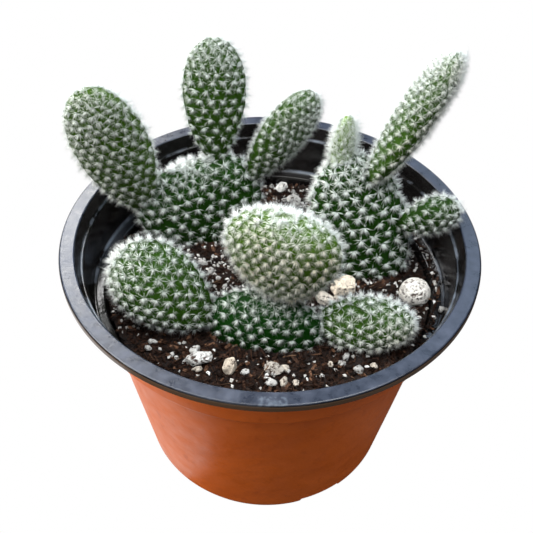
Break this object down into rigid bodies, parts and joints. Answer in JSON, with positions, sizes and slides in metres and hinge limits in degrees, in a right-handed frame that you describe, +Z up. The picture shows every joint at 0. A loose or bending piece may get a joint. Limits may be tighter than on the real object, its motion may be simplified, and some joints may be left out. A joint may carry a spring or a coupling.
{
  "type": "potted bunny ears cactus",
  "caption": "Small bunny ears cactus with jointed oval pads, tufted all over, growing in bark soil with loose stones in a round plastic nursery pot.",
  "frame": {"origin": "on the pot's axis, on the surface that the pot stands on", "axes": "+Z up along the pot's axis, -Y towards the front of the object as the picture shows it, +X to the right"},
  "size_m": [0.1308, 0.1308, 0.1476],
  "materials": {
    "pot_plastic": "satin, black inside and on the rim, terracotta outside",
    "soil": "rough dark bark and peat with white perlite",
    "pad_green": "matt green skin with white tufts",
    "pad_young": "matt yellow-green skin with cream tufts",
    "stone_pale": "rough, speckled",
    "stone_tan": "rough"
  },
  "bodies": {
    "root": {"pot": "pot_plastic", "soil": "soil", "back_pad_base": "pad_green", "back_pad_left": "pad_green", "back_pad_middle": "pad_green", "back_pad_right": "pad_green", "right_pad_base": "pad_green", "right_pad_bud": "pad_young", "right_pad_long": "pad_green", "right_pad_side": "pad_green", "front_pad_base": "pad_green", "front_pad_left": "pad_green", "front_pad_top": "pad_young", "front_pad_right": "pad_green", "stone_round_pumice": "stone_pale", "stone_tan_large": "stone_tan", "stone_tan_small": "stone_tan", "stone_white_left": "stone_pale", "stone_tan_front": "stone_tan", "stone_crumb_front": "stone_tan", "stone_white_back": "stone_pale", "stone_grey_back": "stone_pale"}
  },
  "joints": []
}
